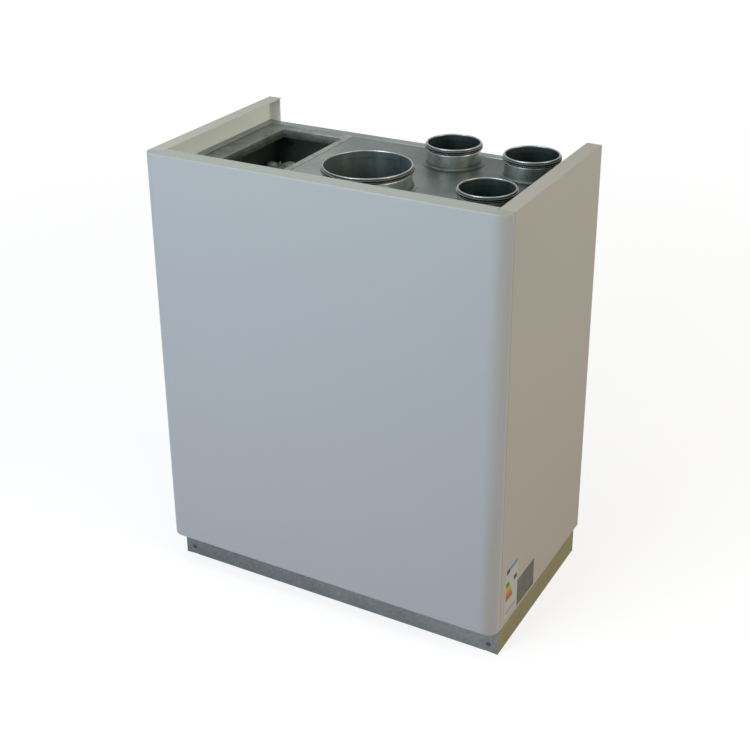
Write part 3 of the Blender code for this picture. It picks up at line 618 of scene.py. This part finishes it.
def spigotSection(radius, top):
    # rolled rim, seal groove, stop bead and flared foot outside; the same groove and bead seen from inside
    shape = spigotShape
    rim, inset, bead, edge = shape["rim"], shape["rimInset"], shape["bead"], shape["edge"]
    rimOut, rimIn = radius - inset + rim, radius - inset - rim
    high = top - shape["sealTop"]
    low = high - shape["sealBand"]
    stop = low - shape["beadBelowSeal"]
    inner, foot = radius - shape["sheet"], shape["lift"] + shape["sheet"]
    groove, outer, step = radius - shape["groove"], radius + shape["flange"], inner - shape["step"]
    return softSection([
        (rimIn, top, rim), (rimOut, top, rim), (rimOut, top - 2 * rim, rim), (groove, high, edge),
        (groove, low, 0.0003), (radius, low - 0.0005, 0.0004), (radius, stop + 1.3 * bead, 0.0005),
        (radius + bead, stop, 0.0009), (radius, stop - 1.3 * bead, 0.0005), (radius, foot, shape["flare"]),
        (outer, foot, edge), (outer, shape["lift"], edge), (radius, shape["lift"], edge),
        (radius, -shape["drop"], edge), (inner, -shape["drop"], edge), (inner, stop, 0.0003),
        (step, stop + 0.0003, edge), (step, high, edge), (rimIn, top - 2 * rim, rim)])


def sealSection(radius, top):
    # a band in the groove with two thin fins that lean a little upwards; the four corners of a fin are its
    # root and tip above, and its tip and root below
    fit, upperLip, lowerLip = sealShape["fit"], *sealShape["lips"]
    high = top - spigotShape["sealTop"] - fit
    low = high - spigotShape["sealBand"] + 2 * fit
    inner = radius - spigotShape["groove"] + fit
    face, tip = radius + sealShape["proud"], radius + sealShape["lipReach"]
    corners = [(inner, high, 0.0002), (face, high, 0.0003)]
    for middle in (high - upperLip, low + lowerLip):
        corners += [(face, middle + 0.0006, 0.0004), (tip - 0.0004, middle + 0.0010, 0.0003),
                    (tip, middle - 0.0001, 0.0003), (face, middle - 0.0011, 0.0005)]
    return softSection(corners + [(face, low, 0.0003), (inner, low, 0.0002)])


def makeSpigots():
    # each spigot, its seal and its liner are closed sections turned round the duct's axis
    corner, steps = spigotShape["perCorner"], spigotShape["steps"]
    for place in ("large", "rear_middle", "rear_right", "front_right"):
        across, along, half, low, high = middleOf("spigot_" + place)
        radius = half - spigotShape["flange"]
        level = low + spigotShape["drop"]
        centre = (across, along, level)
        section = spigotSection(radius, high - level)
        end = len(section)
        upper, lower = ("inside_zinc", "inside_zinc") if place == "large" else ("inside_shade", "inside_dark")
        # rolled rim, flared foot, flange, inside below the groove, the groove's step, inside above it, rim
        # again; the foot's and the insides' darker zincs are painted shade, the step's a painted shadow
        otherRows = ((0, 3 * corner - 2, "rim_zinc"), (9 * corner, 10 * corner - 1, "foot_shade_zinc"),
                     (10 * corner - 1, 13 * corner, "roof_zinc"), (14 * corner, 15 * corner, lower),
                     (15 * corner, 16 * corner + 2, "inside_dark"), (16 * corner + 2, end - corner, upper),
                     (end - corner, end, "rim_zinc"))
        spigot = addTurned("smooth_spigot_" + place, section, centre, steps, "spigot_zinc", otherRows=otherRows)
        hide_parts("spigot_" + place)
        # the upper side of each of the seal's fins, in lighter rubber as a painted highlight
        lips = [((2 + 4 * lip) * corner + 3, (4 + 4 * lip) * corner - 5, "lip_highlight_rubber") for lip in (0, 1)]
        seal = addTurned("smooth_seal_" + place, sealSection(radius, high - level), centre, steps,
                         "seal_rubber", otherRows=lips)
        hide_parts("seal_" + place)
        _, _, wall, linerLow, linerHigh = middleOf("duct_liner_" + place)
        bore, edge = wall - linerShape["wall"], linerShape["edge"]
        corners = [(bore, linerHigh - level, edge), (wall, linerHigh - level, edge),
                   (wall, linerLow - level, edge), (bore, linerLow - level, edge)]
        liner = addTurned("smooth_liner_" + place, softSection(corners), centre, steps, "foam")
        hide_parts("duct_liner_" + place)


# Cable gland and the terminal box in the service compartment

terminals = {
    "steps": 72,
    "boxEdge": 0.0035,
    "boxHold": 0.0004,       # a short straight foot keeps the box's lower edge crisp
    "glandRadius": 0.0085,
    "glandBore": 0.0045,
    "socketBore": 0.007,
}


def makeGland():
    # a flanged ring on the compartment's rear wall, its bore open
    low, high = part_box("cable_gland")
    long, wide, bore = high.y - low.y, terminals["glandRadius"], terminals["glandBore"]
    neck, flat = wide * 0.8, long / 3
    corners = [(bore, long, 0.0006), (neck, long, 0.0008), (neck, flat, 0.0006), (wide, flat, 0.0008),
               (wide, 0.0, 0.0002), (bore, 0.0, 0.0002)]
    centre = ((low.x + high.x) / 2, high.y, (low.z + high.z) / 2)
    gland = addTurned("smooth_gland", softSection(corners), centre, terminals["steps"], "black_plastic",
                      axis="y")
    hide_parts("cable_gland")


def makeTerminals():
    # the cap and the posts are domes, radius * sin(s)^0.8 wide and tall * (0.35 + 0.65 cos(s)^0.7) high, on a
    # straight foot; the socket is a tapered ring
    steps = terminals["steps"]
    for nodeName in ("terminal_cap", "terminal_socket", "terminal_post_left", "terminal_post_right"):
        across, along, radius, low, high = middleOf(nodeName)
        tall, centre = high - low, (across, along, low)
        if nodeName == "terminal_socket":
            bore = terminals["socketBore"]
            corners = [(bore, tall, 0.0008), (radius * 0.96, tall, 0.0016),
                       (radius, 0.0, 0.0002), (bore, 0.0, 0.0002)]
            piece = addTurned("smooth_" + nodeName, softSection(corners), centre, steps, "terminal_plastic")
        else:
            s = np.linspace(0, math.pi / 2, 16)
            dome = np.stack([radius * np.sin(s) ** 0.8, tall * (0.35 + 0.65 * np.cos(s) ** 0.7)], axis=1)
            foot = np.array([(radius, tall * 0.3), (radius, 0.0004), (radius - 0.0004, 0.0), (0.0, 0.0)])
            piece = addTurnedCap("smooth_" + nodeName, np.vstack([dome, foot]), centre, steps,
                                 "terminal_plastic")
        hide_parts(nodeName)


def makeTerminalBox():
    # rounded outlines stacked up its height; over the upper edge they draw in by edge * (1 - cos s)
    # while they rise by edge * sin s
    low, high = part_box("terminal_box")
    edge, hold = terminals["boxEdge"], terminals["boxHold"]
    s = np.linspace(0, math.pi / 2, 7)
    inset = np.concatenate([[hold, 0.0], edge * (1 - np.cos(s)), [edge + 0.0005]])
    level = np.concatenate([[0.0, hold], high.z - low.z - edge + edge * np.sin(s), [high.z - low.z]])
    wide, deep = high.x - low.x, high.y - low.y
    outline = np.stack([roundedOutline(wide - 2 * i, deep - 2 * i, max(edge - i, hold) + 0.0006) for i in inset])
    points = np.concatenate([outline + np.array([(low.x + high.x) / 2, (low.y + high.y) / 2]),
                             np.broadcast_to((low.z + level)[:, None, None], (*outline.shape[:2], 1))], axis=-1)
    box = addSurface("smooth_terminal_box", points, finishes["terminal_plastic"])
    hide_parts("terminal_box")


coverInserts = {
    "radius": 0.00203,
    "bore": 0.0013,
    "length": 0.007,
    "fromLeft": 0.0312,
    "fromRight": 0.0103,
    "fromEnd": 0.0582,
    "sunk": 0.0001,
    "steps": 32,
}


def makeCoverInserts():
    # a threaded sleeve in each of the service frame's four cover holes, near-black as painted shade in the holes
    values = coverInserts
    low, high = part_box("service_frame")
    steel = grainFinish("insertSteel", (0.010, 0.011, 0.010), (0.030, 0.032, 0.030), 900.0, 0.5, 0.00002,
                        {"Metallic": 0.6})
    corners = [(values["bore"], 0.0, 0.0002), (values["radius"], 0.0, 0.0002),
               (values["radius"], -values["length"], 0.0002), (values["bore"], -values["length"], 0.0002)]
    places = [(across, along) for across in (low.x + values["fromLeft"], high.x - values["fromRight"])
              for along in (low.y + values["fromEnd"], high.y - values["fromEnd"])]
    for number, (across, along) in enumerate(places):
        addTurned(f"cover_insert_{number + 1}", softSection(corners), (across, along, high.z - values["sunk"]),
                  values["steps"], "roof_zinc", material=steel)


# Front panel, a shallow pan with round upright corners and a tongue on its top flange

frontShape = {
    "sheet": 0.0012,
    "corner": 0.026,
    "bend": 0.0025,
    "topFlange": 0.0436,
    "tongueInset": 0.0380,   # the tongue stops this far from each side
    "hold": 0.0008,
    "cornerSteps": 28,
    "bendSteps": 6,
    "sharpFrom": 35.0,       # degrees: the sheet's cut edges are sharp, its bends are not
    "weld": 0.000005,
}


def frontPoints(depth):
    # u runs along the plan outline (side, round corner, front, round corner, side) and v up the height:
    # lower flange, bend, front, bend, upper flange. depth draws the whole skin inwards by that much
    shape = frontShape
    low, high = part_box("front_panel")
    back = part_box("front_panel_insulation")[1].y
    corner, bend, hold = shape["corner"], shape["bend"], shape["hold"]
    turns = np.linspace(0, math.pi / 2, shape["cornerSteps"])
    tongue = high.x - shape["tongueInset"]
    centreX, centreY = high.x - corner, low.y + corner
    flat = np.array([tongue - 0.0001, tongue + 0.0001])
    straight = np.sort(np.concatenate([[-centreX + hold, centreX - hold], -flat, flat]))
    planX = np.concatenate([[-1.0], -np.cos(turns), np.zeros(len(straight)), np.sin(turns), [1.0]])
    planY = np.concatenate([[0.0], -np.sin(turns), -np.ones(len(straight)), -np.cos(turns), [0.0]])
    side = np.full(len(turns), centreX)
    baseX = np.concatenate([[-centreX], -side, straight, side, [centreX]])
    baseY = np.concatenate([[back], np.full(2 * len(turns) + len(straight), centreY), [back]])
    angle = np.linspace(0, math.pi / 2, shape["bendSteps"])
    rise = np.concatenate([-np.cos(angle), [0, 0], np.sin(angle)])
    inward = np.concatenate([1 - np.sin(angle), [0, 0], 1 - np.cos(angle)])
    bendLevel = np.concatenate([np.full(len(angle), low.z + bend), [low.z + bend + hold, high.z - bend - hold],
                                np.full(len(angle), high.z - bend)])
    skin = bend - depth
    reach = corner - depth - inward * skin
    level = bendLevel + rise * skin
    x = baseX[None] + planX[None] * reach[:, None]
    y = baseY[None] + planY[None] * reach[:, None]
    z = np.broadcast_to(level[:, None], x.shape)
    wall = np.stack([x, y, z], axis=-1)
    inTongue = (abs(baseX) <= tongue) & (planY == -1.0)
    lowEnd, highEnd = wall[0].copy(), wall[-1].copy()
    lowEnd[:, 1] = back
    highEnd[:, 1] = np.where(inTongue, low.y + shape["topFlange"], back)
    lowHold, highHold = wall[0].copy(), wall[-1].copy()
    lowHold[:, 1] = np.minimum(wall[0][:, 1] + hold, back)
    highHold[:, 1] = np.minimum(wall[-1][:, 1] + hold, back)
    return np.concatenate([lowEnd[None], lowHold[None], wall, highHold[None], highEnd[None]], axis=0)


def makeFrontPanel():
    # an outer and an inner skin one sheet apart, joined by a rim of faces along their edge
    outer, inner = frontPoints(0.0), frontPoints(frontShape["sheet"])
    rows, columns, _ = outer.shape
    count = rows * columns
    faces = gridFaces(rows, columns, closeColumns=False)
    index = np.arange(count).reshape(rows, columns)
    rim = np.concatenate([index[0], index[1:, -1], index[-1, -2::-1], index[-2:0:-1, 0]])
    after = np.roll(rim, -1)
    edge = np.stack([after, rim, rim + count, after + count], axis=-1)
    verts = np.vstack([outer.reshape(-1, 3), inner.reshape(-1, 3)])
    allFaces = np.vstack([faces, faces[:, ::-1] + count, edge])
    panel = addMesh("smooth_front_panel", verts, allFaces, finishes["front_paint"])
    mesh = bmesh.new()
    mesh.from_mesh(panel.data)
    bmesh.ops.remove_doubles(mesh, verts=mesh.verts, dist=frontShape["weld"])
    bmesh.ops.dissolve_degenerate(mesh, edges=mesh.edges, dist=frontShape["weld"])
    mesh.to_mesh(panel.data)
    mesh.free()
    panel.data.set_sharp_from_angle(angle=math.radians(frontShape["sharpFrom"]))
    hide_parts("front_panel")


# Stickers, plate and screws

stickers = {
    "lift": 0.00002,
    "thickness": 0.00012,
    "layers": ((0.0, 1.0), (0.7, 1.0), (1.0, 0.998)),   # share of the thickness, share of the outline
    "energy": {"fromFront": 0.0890, "fromFloor": 0.1625, "width": 0.0715, "height": 0.1330, "radius": 0.0020},
    "plate": {"fromFront": 0.1765, "fromFloor": 0.1245, "width": 0.1000, "height": 0.0740, "radius": 0.0015},
}


def stickerPoints(values):
    # the outline at the back, at the front, and drawn in a little at the front's edge
    outline = roundedOutline(values["width"], values["height"], values["radius"])
    depth, shrink = np.array(stickers["layers"]).T[:, :, None]
    across = cadLow.y + values["fromFront"] + outline[None, :, 0] * shrink
    upward = values["fromFloor"] + outline[None, :, 1] * shrink
    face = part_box("side_panel_right")[1].x + stickers["lift"]
    outward = np.broadcast_to(face + stickers["thickness"] * depth, across.shape)
    return np.stack([outward, across, upward], axis=-1)


def makeEnergySticker():
    # pale sticker with plain coloured bars; each is where the place is within half its size of its middle
    values = stickers["energy"]
    material, tree, shader = newMaterial("barSticker")
    _, along, height = splitPlace(tree)
    left = cadLow.y + values["fromFront"] - values["width"] / 2
    low = values["fromFloor"] - values["height"] / 2
    across = addRange(tree, along, left, left + values["width"])
    upward = addRange(tree, height, low, low + values["height"])
    colour = (0.47, 0.475, 0.43)
    bars = (   # middle and height up the sticker, start and end across it, colour
        (0.950, 0.07, 0.36, 0.97, (0.13, 0.23, 0.32)),
        (0.935, 0.09, 0.10, 0.36, (0.010, 0.014, 0.016)),
        (0.650, 0.09, 0.68, 0.94, (0.014, 0.014, 0.014)),
        (0.690, 0.06, 0.07, 0.30, (0.02, 0.13, 0.02)),
        (0.635, 0.06, 0.07, 0.36, (0.11, 0.24, 0.02)),
        (0.580, 0.06, 0.07, 0.42, (0.45, 0.42, 0.02)),
        (0.520, 0.07, 0.07, 0.48, (0.52, 0.25, 0.01)),
        (0.450, 0.08, 0.07, 0.54, (0.46, 0.13, 0.01)),
        (0.380, 0.07, 0.07, 0.60, (0.40, 0.07, 0.01)),
        (0.100, 0.10, 0.12, 0.90, (0.34, 0.34, 0.31)),
    )
    for middle, tall, start, end, barColour in bars:
        inside = addMath(tree, "COMPARE", upward, middle)
        inside.node.inputs[2].default_value = tall / 2
        between = addMath(tree, "COMPARE", across, (start + end) / 2)
        between.node.inputs[2].default_value = (end - start) / 2
        colour = mixColours(tree, addMath(tree, "MULTIPLY", inside, between), colour, barColour)
    tree.links.new(colour, shader.inputs["Base Color"])
    grain = addNode(tree, "ShaderNodeTexNoise", {"Scale": 300.0, "Detail": 3.0})
    tree.links.new(addNode(tree, "ShaderNodeTexCoord").outputs["Object"], grain.inputs["Vector"])
    tree.links.new(addRange(tree, grain.outputs["Fac"], 0.3, 0.7, 0.45, 0.60), shader.inputs["Roughness"])
    shader.inputs["Specular IOR Level"].default_value = 0.25
    addSurface("bar_sticker", stickerPoints(values), material, smooth=False)


def makeBarePlate():
    # plain foil plate with dark mottling and faint brushing
    foil = zincFinish("plateFoil", (0.028, 0.023, 0.013), (0.105, 0.107, 0.064), 0.2,
                      {"Cell Scale": 110.0, "Cell Share": 0.45, "Cloud Scale": 60.0, "Gloss": 0.50,
                       "Line Squeeze": (1.0, 0.1, 6.0)}, specular=0.3)
    addSurface("plain_plate", stickerPoints(stickers["plate"]), foil, smooth=False)


screws = {
    "steps": 32,
    "headRadius": 0.0055,
    "headHeight": 0.0024,
    "fromEnd": 0.0245,
    "fromFloor": 0.0225,
    "recess": 0.0011,
    "recessReach": 0.0031,
    "recessWidth": 0.0007,
}


def makePlinthScrews():
    # pan head: height = headHeight * sqrt(1 - (r/R)^4), less a cross recess |x| or |y| < half its width
    steel = zincFinish("screwZinc", (0.030, 0.034, 0.034), (0.09, 0.10, 0.095), 0.85,
                       {"Cell Scale": 500.0, "Cell Share": 0.4, "Gloss": 0.46})
    turns = np.linspace(0, 2 * math.pi, screws["steps"], endpoint=False)
    shares = np.array([1.0, 1.0, 0.97, 0.9, 0.78, 0.62, 0.5, 0.4, 0.3, 0.2, 0.12, 0.05])
    lift = np.array([0.0, 0.3] + [1.0] * 10)
    radius = shares[:, None] * screws["headRadius"]
    flatX, flatY = radius * np.cos(turns), radius * np.sin(turns)
    dome = screws["headHeight"] * lift[:, None] * np.sqrt(np.maximum(0.0, 1 - (shares[:, None] * 0.98) ** 4))
    inCross = np.minimum(abs(flatX), abs(flatY)) < screws["recessWidth"]
    inReach = radius < screws["recessReach"]
    height = dome - screws["recess"] * (inCross & inReach)
    height = np.where(np.arange(len(shares))[:, None] == 0, 0.0, height)
    front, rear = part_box("plinth_front"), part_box("plinth_rear")
    places = []
    for side in (-1, 1):
        places.append((side * (front[1].x - screws["fromEnd"]), front[0].y, -1))
        places.append((side * (rear[1].x - screws["fromEnd"]), rear[1].y, 1))
    for number, (across, face, facing) in enumerate(places):
        points = np.stack([across - facing * flatX, face + facing * height,
                           screws["fromFloor"] + flatY], axis=-1)
        addSurface(f"plinth_screw_{number + 1}", points, steel)


makeFrontPanel()
makeSpigots()
makeGland()
makeTerminals()
makeTerminalBox()
makeCoverInserts()
print("front panel, spigots and terminals made")
makeEnergySticker()
makeBarePlate()
makePlinthScrews()
print("stickers, plate and screws made")


# Floor, light and camera

floorPaint = {
    "colour": 0.36,
    "whiteNear": 0.75,       # what the camera sees on top of the lit colour, near the object and far away
    "whiteFar": 0.93,
    "nearReach": 1.2,
    "farReach": 6.0,
    "halfSize": 30.0,
}


def makeFloor():
    # one wide square; it shows white where it is fully lit and keeps the shadow
    half = floorPaint["halfSize"]
    corners = np.array([(-half, -half, 0), (half, -half, 0), (half, half, 0), (-half, half, 0)])
    mesh = bpy.data.meshes.new("floor")
    mesh.from_pydata(corners.tolist(), [], [(0, 1, 2, 3)])
    material, tree, shader = newMaterial("floorPaint")
    shader.inputs["Base Color"].default_value = (*[floorPaint["colour"]] * 3, 1)
    shader.inputs["Roughness"].default_value = 0.9
    shader.inputs["Specular IOR Level"].default_value = 0.0
    shader.inputs["Emission Color"].default_value = (1, 1, 1, 1)
    place = addNode(tree, "ShaderNodeTexCoord")
    reach = addNode(tree, "ShaderNodeVectorMath", operation="LENGTH")
    tree.links.new(place.outputs["Object"], reach.inputs[0])
    white = addRange(tree, reach.outputs["Value"], floorPaint["nearReach"], floorPaint["farReach"],
                     floorPaint["whiteNear"], floorPaint["whiteFar"])
    path = addNode(tree, "ShaderNodeLightPath")
    seen = addMath(tree, "MAXIMUM", path.outputs["Is Camera Ray"], path.outputs["Is Glossy Ray"])
    seen = addMath(tree, "MAXIMUM", seen, path.outputs["Is Transmission Ray"])
    tree.links.new(addMath(tree, "MULTIPLY", seen, white), shader.inputs["Emission Strength"])
    mesh.materials.append(material)
    floor = bpy.data.objects.new("floor", mesh)
    bpy.context.scene.collection.objects.link(floor)


def makeWorld():
    # white for the camera, a pale room for gloss, and an even plain light for everything else
    world = bpy.data.worlds.new("studio")
    bpy.context.scene.world = world
    world.use_nodes = True
    tree = world.node_tree
    background = tree.nodes["Background"]
    path = addNode(tree, "ShaderNodeLightPath")
    seen = addMath(tree, "MAXIMUM", path.outputs["Is Camera Ray"], path.outputs["Is Transmission Ray"])
    glossy = addRange(tree, path.outputs["Is Glossy Ray"], 0.0, 1.0,
                      lights["worldStrength"], lights["worldGlossy"])
    strength = addMath(tree, "MAXIMUM", seen, glossy)
    tree.links.new(strength, background.inputs["Strength"])
    tree.links.new(mixColours(tree, seen, lights["worldColour"], (1.0, 1.0, 1.0)), background.inputs["Color"])


def makeLight(name):
    # level is the share of plain white that it adds to a surface facing it at its aim:
    # power = level * (pi * distance)^2
    values = lights[name]
    way = np.array(values["aim"]) - np.array(values["place"])
    distance = np.linalg.norm(way)
    way = way / distance
    lamp = bpy.data.lights.new(name, "AREA")
    lamp.shape = "SQUARE"
    lamp.size = values["size"]
    lamp.color = values["colour"]
    lamp.energy = values["level"] * (math.pi * distance) ** 2
    holder = bpy.data.objects.new(name, lamp)
    holder.location = values["place"]
    holder.rotation_euler = (math.acos(-way[2]), 0.0, math.atan2(way[1], way[0]) - math.pi / 2)
    bpy.context.scene.collection.objects.link(holder)


def makeCamera():
    data = bpy.data.cameras.new("camera")
    data.lens = camera["lens"]
    data.sensor_width = camera["sensor"]
    data.shift_x = camera["shiftX"]
    data.shift_y = camera["shiftY"]
    holder = bpy.data.objects.new("camera", data)
    holder.location = camera["place"]
    holder.rotation_euler = Euler(camera["turn"], "XYZ")
    bpy.context.scene.collection.objects.link(holder)
    bpy.context.scene.camera = holder


makeFloor()
makeWorld()
for lightName in ("front", "side", "top"):
    makeLight(lightName)
makeCamera()
bpy.context.scene.view_settings.view_transform = "Standard"
print("floor, lights and camera placed")
